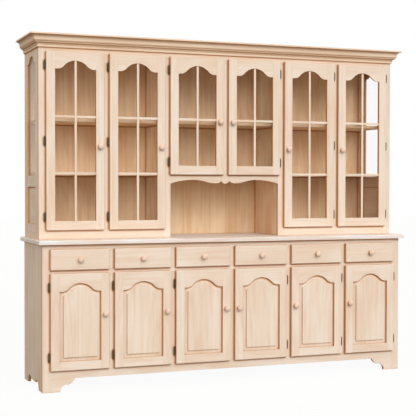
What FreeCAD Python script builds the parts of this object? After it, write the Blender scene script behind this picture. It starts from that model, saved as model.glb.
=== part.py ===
"""Step back cupboard: a six-door base with six drawers, and a glazed hutch that stands back on its counter.

Millimetres, +Z up, front towards -Y. The origin is on the floor, in the middle of the whole object.
"""
import FreeCAD, Part
import math
import os
import Sketcher
from FreeCAD import Vector

doc = FreeCAD.newDocument("step_back_cupboard")
sheet = doc.addObject("Spreadsheet::Sheet", "sizes")

# ---------------------------------------------------------------- driving sizes
SIZES = (
    ("door_width", 357, "every door and drawer front"),
    ("front_gap", 33, "from one front to the next across the cupboard"),
    ("end_margin", 46.5, "outermost fronts to the base's outer faces"),
    ("front_thick", 20, "thickness of doors and drawer fronts"),
    ("standoff", 2, "hinge leaves hold the fronts this far off the face frame"),
    ("overlay", 6, "a front covers this much of the frame round its opening"),
    ("side_thick", 20, "outer side panels"),
    ("frame_thick", 20, "face frame boards"),
    ("board_thick", 18, "inner boards and shelves"),
    ("back_thick", 8, "back panels"),
    ("edge_ease", 4, "easing of the fronts' outer edges"),
    ("base_depth", 516, "face frame's front to the back"),
    ("rail_clear", 78, "floor to the bottom rail between the feet"),
    ("base_door_low", 127, "floor to the base doors"),
    ("base_door_high", 573, "height of a base door"),
    ("drawer_gap", 21, "base door to drawer front"),
    ("drawer_high", 122, "height of a drawer front"),
    ("counter_gap", 29, "drawer front to counter"),
    ("counter_thick", 25, "counter board"),
    ("counter_front", 33, "counter beyond the face frame"),
    ("counter_side", 25, "counter beyond each side panel"),
    ("counter_round", 9, "upper edge of the counter"),
    ("foot_wide", 108, "bracket foot on the floor, from the corner"),
    ("foot_heel", 4, "straight edge at the bottom of a foot"),
    ("foot_cove", 38, "radius of the foot's cove"),
    ("foot_tip_out", 152, "tip beyond the cove, from the corner"),
    ("foot_tip_high", 40, "floor to that tip"),
    ("foot_scroll_out", 197, "end of the foot's scroll, from the corner"),
    ("foot_scroll", 62, "radius of the foot's scroll"),
    ("side_foot_wide", 105, "foot of a side panel"),
    ("side_heel", 10, "straight edge at the bottom of a side panel's foot"),
    ("side_cove_high", 51, "top of the side panel's cove, and its radius"),
    ("side_scroll", 82, "radius from the cove's top to the tip"),
    ("side_tip_out", 198, "tip of the side panel's scroll, from the corner"),
    ("side_tip_high", 33, "floor to that tip"),
    ("shelf_drop", 8, "shelf fronts stand back from the face frame"),
    ("shelf_under", 12, "lower bar's centre to the underside of the hutch's middle shelf"),
    ("base_shelf_high", 280, "base shelf above the deck"),
    ("setback", 112, "hutch front behind the base front"),
    ("hutch_in", 4, "hutch's sides within the base's outer faces"),
    ("hutch_door_low", 54, "counter to the tall doors"),
    ("tall_door_high", 1066, "height of a tall hutch door"),
    ("short_door_high", 730, "height of a short hutch door"),
    ("crown_gap", 23, "hutch doors to the crown"),
    ("crown_high", 81, "height of the crown moulding"),
    ("crown_out", 56, "projection of the crown moulding"),
    ("crown_fillet", 9, "crown's upper fillet"),
    ("crown_cove", 22, "radius of the crown's large cove"),
    ("crown_neck", 7, "upright under the large cove"),
    ("crown_round", 15, "radius of the round below that"),
    ("crown_band", 5, "band under the round"),
    ("crown_small_cove", 12, "radius of the crown's small cove"),
    ("crown_bead_out", 8, "projection of the lowest bead"),
    ("crown_bead_high", 16, "height of the lowest bead"),
    ("crown_quirk", 2, "steps beside the coves"),
    ("top_recess", 12, "crown's edge above the top board"),
    ("valance_ends", 61, "height of the valance at its ends"),
    ("valance_crest", 37, "height of the valance at its two crests"),
    ("valance_crest_out", 213, "middle of the valance to a crest"),
    ("valance_share", 0.46, "part of its ogee below the inflection"),
    ("valance_scroll_out", 64, "middle of the valance to the bottom of a scroll"),
    ("valance_scroll_up", 2, "bottom of a scroll above the drop's"),
    ("valance_drop_out", 27, "half the width of the valance's round drop"),
    ("valance_drop_high", 16, "height of the round drop"),
    ("stile_wide", 52.5, "door stiles"),
    ("base_rail_low", 54, "base door's bottom rail"),
    ("base_rail_top", 106, "base door's top rail at the arch's shoulders"),
    ("base_arch_rise", 49, "rise of a base door's arch"),
    ("hutch_rail_low", 56, "hutch door's bottom rail"),
    ("hutch_rail_top", 103, "hutch door's top rail at the arch's shoulders"),
    ("hutch_arch_rise", 51, "rise of a hutch door's arch"),
    ("arch_flat", 14, "level stretch of each shoulder"),
    ("arch_share", 0.36, "part of the ogee that its lower curve takes"),
    ("rebate_wide", 7, "panel or pane behind its frame's edge, all round"),
    ("margin_thick", 8, "raised panel at its margin, flush with the door's back"),
    ("bevel_wide", 24, "bevel round the raised field"),
    ("bevel_rise", 6, "rise of that bevel"),
    ("field_step", 5, "step at the raised field's edge"),
    ("field_flat", 3, "level stretch of the field's shoulders"),
    ("glass_thick", 3, "glass panes"),
    ("stop_thick", 5, "strips that hold a door's pane from behind"),
    ("muntin_wide", 14, "glazing bars"),
    ("muntin_deep", 10, "glazing bars in front of the glass"),
    ("low_muntin_high", 341, "tall door's bottom to its lower bar's centre"),
    ("muntin_pitch", 339, "between the two bars' centres"),
    ("side_stile", 88, "side frame's stiles, with the face frame's edge"),
    ("side_rail_low", 88, "side frame's bottom rail"),
    ("side_panel_high", 226, "side frame's lower panel"),
    ("side_rail_mid", 68, "side frame's middle rail"),
    ("side_window_high", 683, "side window up to the arch's shoulders"),
    ("side_arch_rise", 44, "rise of a side window's arch"),
    ("side_pane_in", 10, "side's outer face to its glass and panel"),
    ("side_panel_thick", 6, "side frame's lower panel"),
    ("drawer_side", 12, "drawer box boards"),
    ("drawer_bottom", 5, "drawer bottom"),
    ("drawer_deep", 440, "length of a drawer box"),
    ("drawer_box_high", 94, "height of a drawer box"),
    ("drawer_play", 6, "drawer box to each edge of its opening"),
    ("bottom_up", 8, "drawer box edge to its bottom"),
    ("runner_wide", 12, "runner under a drawer's side"),
    ("guide_high", 30, "guide beside a drawer's side"),
    ("slip", 0.3, "running clearance"),
    ("guide_slip", 1, "drawer side to its guide"),
    ("knob_radius", 18, "knobs"),
    ("knob_reach", 30, "knobs in front of a front"),
    ("knob_foot", 10, "radius of a knob's foot"),
    ("knob_foot_high", 9, "front's face to the back of a knob's head"),
    ("knob_flare", 7.5, "slope from a knob's foot to its rim"),
    ("knob_dome", 7, "slope from a knob's rim to its face"),
    ("base_knob_high", 329, "base door's bottom to its knob"),
    ("tall_knob_high", 504, "tall door's bottom to its knob"),
    ("short_knob_high", 333, "short door's bottom to its knob"),
    ("hinge_inset", 80, "door's end to the centre of its hinge"),
    ("barrel_radius", 6, "hinge barrel"),
    ("barrel_long", 45, "hinge barrel without its tips"),
    ("tip_long", 7, "tip at each end of a barrel"),
    ("leaf_thick", 0.9, "hinge leaf"),
    ("leaf_high", 44, "hinge leaf"),
    ("leaf_wide", 13, "hinge leaf on the door"),
    ("leaf_past", 3, "that leaf beyond the door's edge"),
    ("leaf_wrap", 14, "hinge leaf wrapped into the opening"),
    ("barrel_clear", 0.5, "barrel to the door's edge"),
    ("catch_wide", 44, "magnetic catch"),
    ("catch_high", 13, "magnetic catch"),
    ("catch_deep", 16, "magnetic catch"),
    ("catch_out", 100, "door's centre to its catch"),
    ("strike_wide", 35, "strike plate of a catch"),
)

for row, (alias, value, meaning) in enumerate(SIZES, start=1):
    sheet.set("A%d" % row, meaning)
    sheet.set("B%d" % row, str(value))
    sheet.setAlias("B%d" % row, alias)
doc.recompute()


class Size:
    """A length that carries its value and the spreadsheet expression it comes from."""

    def __init__(self, value, text):
        self.value = value
        self.text = text

    @staticmethod
    def of(other):
        return other if isinstance(other, Size) else Size(other, "%.6f" % other)

    def joined(self, other, sign, value):
        return Size(value, "(%s %s %s)" % (self.text, sign, other.text))

    def __add__(self, other):
        other = Size.of(other)
        return self.joined(other, "+", self.value + other.value)

    def __sub__(self, other):
        other = Size.of(other)
        return self.joined(other, "-", self.value - other.value)

    def __mul__(self, other):
        other = Size.of(other)
        return self.joined(other, "*", self.value * other.value)

    def __truediv__(self, other):
        other = Size.of(other)
        return self.joined(other, "/", self.value / other.value)

    def __radd__(self, other):
        return Size.of(other) + self

    def __rsub__(self, other):
        return Size.of(other) - self

    def __rmul__(self, other):
        return Size.of(other) * self

    def __neg__(self):
        return Size(-self.value, "(-1 * %s)" % self.text)

    def root(self):
        return Size(self.value ** 0.5, "sqrt(%s)" % self.text)


def size(alias):
    """The named size in the spreadsheet."""
    return Size(float(sheet.get(alias)), "sizes." + alias)


ZERO = Size.of(0)


# ---------------------------------------------------------------- building blocks
def place(obj, corner):
    """Put an object's origin at a point, by expressions."""
    for axis, coordinate in zip("xyz", corner):
        obj.setExpression("Placement.Base." + axis, Size.of(coordinate).text)


def board(name, low, high):
    """A plain board between its lowest and highest corners."""
    box = doc.addObject("Part::Box", name)
    low = [Size.of(value) for value in low]
    high = [Size.of(value) for value in high]
    for prop, start, end in zip(("Length", "Width", "Height"), low, high):
        box.setExpression(prop, (end - start).text)
    place(box, low)
    return box


def arc_centre(start, end, radius, turn):
    """Centre of the shorter arc from start to end; turn is 1 for counter-clockwise, -1 for clockwise."""
    chord = end - start
    middle = (start + end) * 0.5
    rise = (radius ** 2 - chord.Length ** 2 / 4) ** 0.5
    normal = Vector(-chord.y, chord.x, 0).normalize()
    return middle + normal * (rise * turn)


def draw(body, name, role, outline):
    """A closed sketch on one of the body's origin planes.

    The outline is a list of points (x, y); a point may be followed by an arc(), and the edge that leaves
    it is then that arc. Every point and radius is a constraint bound to the spreadsheet.
    """
    sketch = body.newObject("Sketcher::SketchObject", name)
    plane = [p for p in body.Origin.OriginFeatures if p.Role == role][0]
    sketch.AttachmentSupport = [(plane, "")]
    sketch.MapMode = "FlatFace"
    points = []
    arcs = {}
    for entry in outline:
        if isinstance(entry, dict):
            arcs[len(points) - 1] = entry
        else:
            points.append((Size.of(entry[0]), Size.of(entry[1])))
    spots = [Vector(x.value, y.value, 0) for x, y in points]
    for index, start in enumerate(spots):
        end = spots[(index + 1) % len(spots)]
        if index not in arcs:
            sketch.addGeometry(Part.LineSegment(start, end))
            continue
        radius = Size.of(arcs[index]["radius"])
        turn = arcs[index]["turn"]
        centre = arc_centre(start, end, radius.value, turn)
        first, last = (start, end) if turn > 0 else (end, start)
        circle = Part.Circle(centre, Vector(0, 0, 1), radius.value)
        sketch.addGeometry(Part.ArcOfCircle(circle, circle.parameter(first), circle.parameter(last)))

    def ends(index):
        forward = index not in arcs or arcs[index]["turn"] > 0
        return (1, 2) if forward else (2, 1)

    for index, (x, y) in enumerate(points):
        following = (index + 1) % len(points)
        sketch.addConstraint(Sketcher.Constraint(
            "Coincident", index, ends(index)[1], following, ends(following)[0]))
        for kind, coordinate in (("DistanceX", x), ("DistanceY", y)):
            number = sketch.addConstraint(Sketcher.Constraint(
                kind, -1, 1, index, ends(index)[0], coordinate.value))
            sketch.setExpression("Constraints[%d]" % number, coordinate.text)
        if index in arcs:
            radius = Size.of(arcs[index]["radius"])
            number = sketch.addConstraint(Sketcher.Constraint("Radius", index, radius.value))
            sketch.setExpression("Constraints[%d]" % number, radius.text)
    return sketch


def arc(radius, turn):
    """Marks the edge that follows a point of an outline as an arc."""
    return {"radius": radius, "turn": turn}


def pad(body, name, sketch, length, reverse=False):
    """Thicken a sketch along its normal, or against it."""
    feature = body.newObject("PartDesign::Pad", name)
    feature.Profile = sketch
    feature.setExpression("Length", Size.of(length).text)
    feature.Reversed = reverse
    return feature


def new_body(name, corner):
    body = doc.addObject("PartDesign::Body", name)
    place(body, corner)
    return body


def front_plate(name, outline, thick, corner):
    """A board drawn from the front, in X and Z, and thickened backwards from the corner's Y."""
    body = new_body(name, corner)
    pad(body, name + "_pad", draw(body, name + "_outline", "XZ_Plane", outline), thick, reverse=True)
    return body


def side_plate(name, outline, thick, corner):
    """A board drawn from the side, in Y and Z, and thickened towards +X."""
    body = new_body(name, corner)
    pad(body, name + "_pad", draw(body, name + "_outline", "YZ_Plane", outline), thick)
    return body


def rectangle(width, height):
    return [(ZERO, ZERO), (width, ZERO), (width, height), (ZERO, height)]


def mirrored(name, source):
    """The other one of a left and right pair."""
    twin = doc.addObject("Part::Mirroring", name)
    twin.Source = source
    twin.Normal = Vector(1, 0, 0)
    return twin


def cut(name, base, tool):
    """One piece less the shape of another, which then seats in it."""
    result = doc.addObject("Part::Cut", name)
    result.Base = base
    result.Tool = tool
    return result


KNOB_FLATS = 10
BARREL_FLATS = 8
NODES = []


def node(name, pieces):
    """Group the pieces of one sub-part under the name of its file."""
    group = doc.addObject("Part::Compound", name)
    group.Label = name
    group.Links = pieces
    NODES.append(group)
    return group


# ---------------------------------------------------------------- positions shared by the sub-parts
door_width = size("door_width")
bay_pitch = door_width + size("front_gap")
front_thick = size("front_thick")
standoff = size("standoff")
overlay = size("overlay")
side_thick = size("side_thick")
frame_thick = size("frame_thick")
board_thick = size("board_thick")
back_thick = size("back_thick")
slip = size("slip")

front = -(size("base_depth") - standoff - front_thick - size("knob_reach")) / 2
back = front + size("base_depth")
hutch_front = front + size("setback")

base_half = bay_pitch * 2.5 + door_width / 2 + size("end_margin")
hutch_half = base_half - size("hutch_in")
half_opening = door_width / 2 - overlay
half_mullion = bay_pitch / 2 - half_opening
frame_inner = bay_pitch * 2.5 + half_opening

base_door_low = size("base_door_low")
base_door_top = base_door_low + size("base_door_high")
drawer_low = base_door_top + size("drawer_gap")
drawer_top = drawer_low + size("drawer_high")
base_top = drawer_top + size("counter_gap")
counter_top = base_top + size("counter_thick")

tall_low = counter_top + size("hutch_door_low")
hutch_door_top = tall_low + size("tall_door_high")
short_low = hutch_door_top - size("short_door_high")
crown_low = hutch_door_top + size("crown_gap")
crown_top = crown_low + size("crown_high")
hutch_top = crown_top - size("top_recess")

deck_top = base_door_low + overlay
rail_mid_low = base_door_top - overlay
runner_top = drawer_low + overlay
rail_top_low = drawer_top - overlay
shelf_front = size("shelf_drop")


def bay(number):
    """Centre of a bay, counted from 0 at the viewer's left."""
    return bay_pitch * (number - 2.5)


def boundary(number):
    """Line between two bays: 0 is in the middle of the cupboard."""
    return bay_pitch * number


# ---------------------------------------------------------------- base carcass
def base_side_panels():
    """Side panels, each cut below into two bracket feet and a level middle."""
    long = size("base_depth") - frame_thick
    foot = size("side_foot_wide") - frame_thick
    tip = size("side_tip_out") - frame_thick
    rear_foot = long - size("side_foot_wide")
    rear_tip = long - size("side_tip_out")
    tip_high = size("side_tip_high")
    cove = size("side_cove_high")
    heel = size("side_heel")
    crest = (tip - foot) / 2
    inner, outer = arc(cove, -1), arc(size("side_scroll"), -1)
    outline = [
        (ZERO, ZERO), (foot, ZERO), (foot, heel), inner, (foot + crest, cove), outer, (tip, tip_high),
        (rear_tip, tip_high), outer, (rear_foot - crest, cove), inner, (rear_foot, heel),
        (rear_foot, ZERO), (long, ZERO), (long, base_top), (ZERO, base_top)]
    left = side_plate("base_side_left", outline, side_thick, (-base_half, front + frame_thick, ZERO))
    return node("base_side_panels", [left, mirrored("base_side_right", left)])


def bracket_rail():
    """Bottom rail of the face frame, whose ends come down to the floor as scrolled bracket feet."""
    half = frame_inner
    foot = base_half - size("foot_wide")
    tip = base_half - size("foot_tip_out")
    end = base_half - size("foot_scroll_out")
    heel = size("foot_heel")
    tip_high = size("foot_tip_high")
    clear = size("rail_clear")
    radius = size("foot_cove")
    cove, scroll = arc(radius, -1), arc(size("foot_scroll"), 1)
    outline = [
        (-half, ZERO), (-foot, ZERO), (-foot, heel), cove, (radius - foot, heel + radius),
        (-tip, tip_high), scroll, (-end, clear), (end, clear), scroll, (tip, tip_high),
        (foot - radius, heel + radius), cove, (foot, heel), (foot, ZERO), (half, ZERO),
        (half, deck_top), (-half, deck_top)]
    return front_plate("base_bottom_rail", outline, frame_thick, (ZERO, front, ZERO))


def base_face_frame():
    """End stiles to the floor, three rails between them, and mullions between the rails."""
    rear = front + frame_thick
    pieces = [bracket_rail()]
    left = board("base_stile_left", (-base_half, front, ZERO), (-frame_inner, rear, base_top))
    right = board("base_stile_right", (frame_inner, front, ZERO), (base_half, rear, base_top))
    pieces += [left, right]
    for name, low, high in (("middle", rail_mid_low, runner_top), ("top", rail_top_low, base_top)):
        pieces.append(board("base_%s_rail" % name, (-frame_inner, front, low), (frame_inner, rear, high)))
    for number in range(-2, 3):
        middle = boundary(number)
        for name, low, high in (("door", deck_top, rail_mid_low), ("drawer", runner_top, rail_top_low)):
            pieces.append(board("base_%s_mullion_%d" % (name, number + 3),
                                (middle - half_mullion, front, low), (middle + half_mullion, rear, high)))
    return node("base_face_frame", pieces)


def base_inner_boards():
    """Deck and shelves, the two full partitions, and the back."""
    inner = base_half - side_thick
    behind = front + frame_thick
    rear = back - back_thick
    half_board = board_thick / 2
    deck_low = deck_top - board_thick
    deck = board("base_deck", (-inner, behind, deck_low), (inner, rear, deck_top))
    shelf_low = deck_top + size("base_shelf_high")
    walls = (-inner, boundary(-1), boundary(1), inner)
    shelves = []
    for number in range(3):
        start = walls[number] + (half_board if number > 0 else ZERO)
        end = walls[number + 1] - (half_board if number < 2 else ZERO)
        shelves.append(board("base_shelf_%d" % (number + 1), (start, behind + shelf_front, shelf_low),
                             (end, rear, shelf_low + board_thick)))
    partitions = []
    for name, number in (("left", -1), ("right", 1)):
        middle = boundary(number)
        partitions.append(board("base_partition_" + name, (middle - half_board, behind, deck_top),
                                (middle + half_board, rear, base_top)))
    panel = board("base_back_panel", (-inner, rear, deck_low), (inner, back, base_top))
    node("base_deck_and_shelves", [deck] + shelves)
    node("base_partitions", partitions)
    node("base_back", [panel])


def drawer_runners():
    """Dividers between paired drawers, rear rails, and the runner and guide on each side of each drawer."""
    behind = front + frame_thick
    rear = back - back_thick
    rail_front = rear - board_thick
    half_board = board_thick / 2
    runner_low = runner_top - board_thick
    inner = base_half - side_thick
    box_half = half_opening - size("drawer_play")
    guide_at = box_half + size("guide_slip")
    runner_at = box_half - size("runner_wide")
    guide_top = runner_top + size("guide_high")
    pieces = []
    for number in (-2, 0, 2):
        middle = boundary(number)
        pieces.append(board("drawer_divider_%d" % (number + 3), (middle - half_board, behind, runner_low),
                            (middle + half_board, rail_front, base_top)))
    walls = (-inner, boundary(-1), boundary(1), inner)
    for number in range(3):
        start = walls[number] + (half_board if number > 0 else ZERO)
        end = walls[number + 1] - (half_board if number < 2 else ZERO)
        pieces.append(board("base_rear_rail_%d" % (number + 1), (start, rail_front, runner_low),
                            (end, rear, base_top)))
    for number in range(6):
        middle = bay(number)
        for side in (-1, 1):
            wall = middle + side * (bay_pitch / 2 - half_board)
            if number == 0 and side < 0:
                wall = -inner
            if number == 5 and side > 0:
                wall = inner
            label = "%d_%s" % (number + 1, "left" if side < 0 else "right")
            for name, reach, low, high in (("runner", runner_at, runner_low, runner_top),
                                           ("guide", guide_at, runner_top, guide_top)):
                edge = middle + side * reach
                start, end = (wall, edge) if side < 0 else (edge, wall)
                pieces.append(board("drawer_%s_%s" % (name, label), (start, behind, low),
                                    (end, rail_front, high)))
    return node("drawer_runners", pieces)


def counter():
    """Counter board with its upper front and side edges rounded."""
    half = base_half + size("counter_side")
    deep = size("base_depth") + size("counter_front")
    edge = size("counter_round")
    body = new_body("counter_board", (-half, front - size("counter_front"), base_top))
    outline = rectangle(half * 2, deep)
    feature = pad(body, "counter_pad", draw(body, "counter_outline", "XY_Plane", outline),
                  size("counter_thick"))
    doc.recompute()
    upper = named_edges(feature, lambda box: box.ZMin > size("counter_thick").value - 0.01
                        and not box.YMin > deep.value - 0.01)
    fillet(body, "counter_edge", feature, upper, edge)
    return node("counter_top", [body])


def named_edges(feature, wanted):
    """Names of a feature's edges whose bounding box answers a test."""
    return ["Edge%d" % (index + 1) for index, edge in enumerate(feature.Shape.Edges)
            if wanted(edge.BoundBox)]


def fillet(body, name, feature, edges, radius):
    rounding = body.newObject("PartDesign::Fillet", name)
    rounding.Base = (feature, edges)
    rounding.setExpression("Radius", radius.text)
    body.Tip = rounding
    return rounding


# ---------------------------------------------------------------- ogee arches
def level_arc(run, rise):
    """Radius of the arc that leaves the level and climbs the rise over the run."""
    return (run * run + rise * rise) / (rise * 2)


def arch(half, shoulder, rise, inset=None, leftward=False):
    """The upper edge of an arched opening, centred on x = 0, as points and arcs of an outline.

    From each side come a level shoulder, a lower curve and the crown's curve, all tangent. The lower curve
    takes a share of the ogee. With an inset the line runs that far inside the opening's edge, which uses up
    the shoulders but for a short level stretch at each corner.
    """
    flat = size("arch_flat")
    share = size("arch_share")
    run = half - flat
    both = level_arc(run, rise)
    start, level = run, shoulder
    if inset:
        start = half - inset - size("field_flat")
        lead = run - start
        lower = both * share + inset
        level = shoulder + both * share - (lower * lower - lead * lead).root()
    else:
        inset = ZERO
        lower = both * share
    crown = both * (1 - share) - inset
    turn_x = run - run * share - run / both * inset
    turn_z = shoulder + rise * share - (1 - rise / both) * inset
    corner = half - inset
    way, bend = (-1, 1) if not leftward else (1, -1)
    return [(corner * way, level), (start * way, level), arc(lower, bend),
            (turn_x * way, turn_z), arc(crown, -bend), (turn_x * -way, turn_z), arc(lower, bend),
            (start * -way, level), (corner * -way, level)]


def arched_panel(half, low, shoulder, rise, inset=None):
    """Outline inside a frame with a level foot and an arched head, or that far inside it."""
    edge = inset or ZERO
    return [(edge - half, low + edge), (half - edge, low + edge)] + arch(
        half, shoulder, rise, inset, leftward=True)


def arched_rail(half, shoulder, rise, high):
    """Outline of a rail with a level top and an arched lower edge."""
    return arch(half, shoulder, rise) + [(half, high), (-half, high)]


# ---------------------------------------------------------------- hutch carcass
def hutch_sides():
    """Side frames, each with an arched window over a flat panel, and their glass."""
    stile = size("side_stile")
    reach = size("base_depth") - size("setback")
    half = (reach - stile * 2) / 2
    middle = hutch_front + reach / 2
    panel_low = size("side_rail_low")
    panel_top = panel_low + size("side_panel_high")
    window_low = panel_top + size("side_rail_mid")
    shoulder = window_low + size("side_window_high")
    rise = size("side_arch_rise")
    lap = size("rebate_wide")
    outer = -hutch_half
    inner = outer + side_thick
    face = outer + size("side_pane_in")
    window_top = shoulder + rise
    high = hutch_top - counter_top

    def rail(name, low, top):
        return board(name, (outer, middle - half, counter_top + low),
                     (inner, middle + half, counter_top + top))

    def infill(name, start, end, low, top):
        return board(name, (start, middle - half - lap, counter_top + low - lap),
                     (end, middle + half + lap, counter_top + top + lap))

    frame = [
        board("side_front_stile", (outer, hutch_front + frame_thick, counter_top),
              (inner, middle - half, hutch_top)),
        board("side_rear_stile", (outer, middle + half, counter_top), (inner, back, hutch_top)),
        rail("side_low_rail", ZERO, panel_low),
        rail("side_middle_rail", panel_top, window_low),
        side_plate("side_arched_rail", arched_rail(half, shoulder, rise, high), side_thick,
                   (outer, middle, counter_top))]
    rebates = doc.addObject("Part::Compound", "side_rebates")
    panel = infill("side_panel", face, face + size("side_panel_thick"), panel_low, panel_top)
    rebates.Links = [panel, infill("side_window_rebate", face, inner, window_low, window_top)]
    glass_back = face + size("glass_thick")
    pane = infill("side_pane", face, glass_back, window_low, window_top)
    front_edge, rear_edge = middle - half, middle + half
    low_edge, top_edge = counter_top + window_low, counter_top + window_top
    stops = [
        board("side_front_stop", (glass_back, front_edge - lap, low_edge - lap),
              (inner, front_edge, top_edge + lap)),
        board("side_rear_stop", (glass_back, rear_edge, low_edge - lap),
              (inner, rear_edge + lap, top_edge + lap)),
        board("side_low_stop", (glass_back, front_edge, low_edge - lap), (inner, rear_edge, low_edge)),
        board("side_top_stop", (glass_back, front_edge, top_edge), (inner, rear_edge, top_edge + lap))]
    left = [cut(piece.Name + "_rebated", piece, rebates) for piece in frame] + [panel] + stops
    right = [mirrored(piece.Name + "_right", piece) for piece in left]
    node("hutch_side_frames", left + right)
    node("hutch_side_glass", [pane, mirrored("side_pane_right", pane)])


def valance():
    """Rail under the short doors: two shallow arches, a scroll each side, and a round drop between them."""
    half = bay_pitch - half_mullion
    ends = size("valance_ends")
    crest = ends - size("valance_crest")
    crest_x = size("valance_crest_out")
    scroll = size("valance_scroll_up")
    scroll_x = size("valance_scroll_out")
    drop = size("valance_drop_high")
    drop_x = size("valance_drop_out")
    share = size("valance_share")
    run, rise = crest_x - scroll_x, crest - scroll
    both = level_arc(run, rise)
    turn_x, turn = scroll_x + run * share, scroll + rise * share
    curl = arc(level_arc(scroll_x - drop_x, drop - scroll), 1)
    lower, upper = arc(both * share, 1), arc(both * (1 - share), -1)
    outer = arc(level_arc(half - crest_x, crest), -1)
    outline = [
        (-half, ZERO), outer, (-crest_x, crest), upper, (-turn_x, turn), lower, (-scroll_x, scroll), curl,
        (-drop_x, drop), arc(level_arc(drop_x, drop), 1), (drop_x, drop), curl, (scroll_x, scroll), lower,
        (turn_x, turn), upper, (crest_x, crest), outer, (half, ZERO), (half, ends), (-half, ends)]
    corner = (ZERO, hutch_front, short_low + overlay - ends)
    return node("hutch_valance", [front_plate("valance_rail", outline, frame_thick, corner)])


def hutch_face_frame():
    """End stiles, the top rail, the rails under the tall doors, and mullions."""
    rear = hutch_front + frame_thick
    low_rail_top = tall_low + overlay
    top_rail_low = hutch_door_top - overlay
    short_rail_top = short_low + overlay
    pieces = []
    for name, side in (("left", -1), ("right", 1)):
        edges = (-hutch_half, -frame_inner) if side < 0 else (frame_inner, hutch_half)
        pieces.append(board("hutch_stile_" + name, (edges[0], hutch_front, counter_top),
                            (edges[1], rear, hutch_top)))
        inner = bay_pitch + half_mullion
        edges = (-frame_inner, -inner) if side < 0 else (inner, frame_inner)
        pieces.append(board("hutch_low_rail_" + name, (edges[0], hutch_front, counter_top),
                            (edges[1], rear, low_rail_top)))
    pieces.append(board("hutch_top_rail", (-frame_inner, hutch_front, top_rail_low),
                        (frame_inner, rear, hutch_top)))
    for number, low in ((-2, low_rail_top), (-1, counter_top), (0, short_rail_top), (1, counter_top),
                        (2, low_rail_top)):
        middle = boundary(number)
        pieces.append(board("hutch_mullion_%d" % (number + 3), (middle - half_mullion, hutch_front, low),
                            (middle + half_mullion, rear, top_rail_low)))
    return node("hutch_face_frame", pieces)


def hutch_inner_boards():
    """Top board, partitions, the bottoms and shelves of the three cabinets, and the back."""
    inner = hutch_half - side_thick
    behind = hutch_front + frame_thick
    rear = back - back_thick
    half_board = board_thick / 2
    top_low = hutch_top - board_thick
    top = board("hutch_top_board", (-inner, behind, top_low), (inner, rear, hutch_top))
    partitions = []
    for name, number in (("left", -1), ("right", 1)):
        middle = boundary(number)
        partitions.append(board("hutch_partition_" + name, (middle - half_board, behind, counter_top),
                                (middle + half_board, rear, top_low)))
    bar = tall_low + size("low_muntin_high")
    tall_levels = (tall_low + overlay - board_thick, bar - size("shelf_under"),
                   bar + size("muntin_pitch") - board_thick * 1.5)
    short_levels = (short_low + overlay - board_thick, tall_levels[2])
    walls = (-inner, boundary(-1), boundary(1), inner)
    shelves = []
    for number in range(3):
        start = walls[number] + (half_board if number > 0 else ZERO)
        end = walls[number + 1] - (half_board if number < 2 else ZERO)
        for step, low in enumerate(short_levels if number == 1 else tall_levels):
            set_back = ZERO if step == 0 else shelf_front
            shelves.append(board("hutch_shelf_%d_%d" % (number + 1, step + 1),
                                 (start, behind + set_back, low), (end, rear, low + board_thick)))
    panel = board("hutch_back_panel", (-inner, rear, counter_top), (inner, back, hutch_top))
    node("hutch_top", [top])
    node("hutch_partitions", partitions)
    node("hutch_shelves", shelves)
    node("hutch_back", [panel])


def crown_profile(side):
    """Section of the crown: bead, small cove, band, round, large cove and upper fillet.

    side is 1 where the moulding projects towards positive sketch x, and -1 where it projects the other way.
    """
    out = size("crown_out")
    high = size("crown_high")
    cove = size("crown_cove")
    small = size("crown_small_cove")
    quirk = size("crown_quirk")
    bead = size("crown_bead_out")
    bead_high = size("crown_bead_high")
    ease = bead / 2
    small_start = bead + quirk
    small_end = small_start + small
    band_low = bead_high + small
    band_top = band_low + size("crown_band")
    neck = out - quirk - cove
    cove_low = high - size("crown_fillet") - cove
    points = [
        (ZERO, ZERO), (bead - ease, ZERO), arc(ease, side), (bead, ease), (bead, bead_high),
        (small_start, bead_high), arc(small, -side), (small_end, band_low), (small_end + quirk, band_low),
        (small_end + quirk, band_top), arc(size("crown_round"), side),
        (neck, cove_low - size("crown_neck")), (neck, cove_low), arc(cove, -side),
        (neck + cove, cove_low + cove), (out, cove_low + cove), (out, high), (ZERO, high)]
    return [entry if isinstance(entry, dict) else (entry[0] * side, entry[1]) for entry in points]


def mitre(body, name, triangle, deep):
    """Cut a moulding's ends along the vertical planes at 45 degrees."""
    pocket = body.newObject("PartDesign::Pocket", name)
    pocket.Profile = draw(body, name + "_outline", "XY_Plane", triangle)
    pocket.Midplane = True
    pocket.setExpression("Length", deep.text)
    body.Tip = pocket


def crown():
    """Crown moulding in three mitred lengths."""
    out = size("crown_out")
    high = size("crown_high")
    spare = 1
    span = hutch_half * 2 + out * 2
    front_body = new_body("crown_front", (ZERO, hutch_front, crown_low))
    run = pad(front_body, "crown_front_pad",
              draw(front_body, "crown_front_profile", "YZ_Plane", crown_profile(-1)), span)
    run.Midplane = True
    far = hutch_half + out + spare
    near = hutch_half - spare
    for name, side in (("left", -1), ("right", 1)):
        triangle = [(far * side, -out - spare), (near * side, Size.of(spare)), (far * side, Size.of(spare))]
        mitre(front_body, "crown_front_mitre_" + name, triangle, (high + spare) * 2)
    reach = size("base_depth") - size("setback") + out
    left = new_body("crown_left", (-hutch_half, hutch_front - out, crown_low))
    pad(left, "crown_left_pad", draw(left, "crown_left_profile", "XZ_Plane", crown_profile(-1)), reach,
        reverse=True)
    triangle = [(-out - spare, Size.of(-spare)), (Size.of(spare), Size.of(-spare)),
                (Size.of(spare), out + spare)]
    mitre(left, "crown_left_mitre", triangle, (high + spare) * 2)
    return node("crown_moulding", [front_body, left, mirrored("crown_right", left)])


# ---------------------------------------------------------------- knobs, hinges and catches
def flats(radius, count):
    """Corners of a level-sided ring of flats."""
    turns = [2 * math.pi * step / count for step in range(count)]
    return [(radius * math.cos(turn), radius * math.sin(turn)) for turn in turns]


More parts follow.
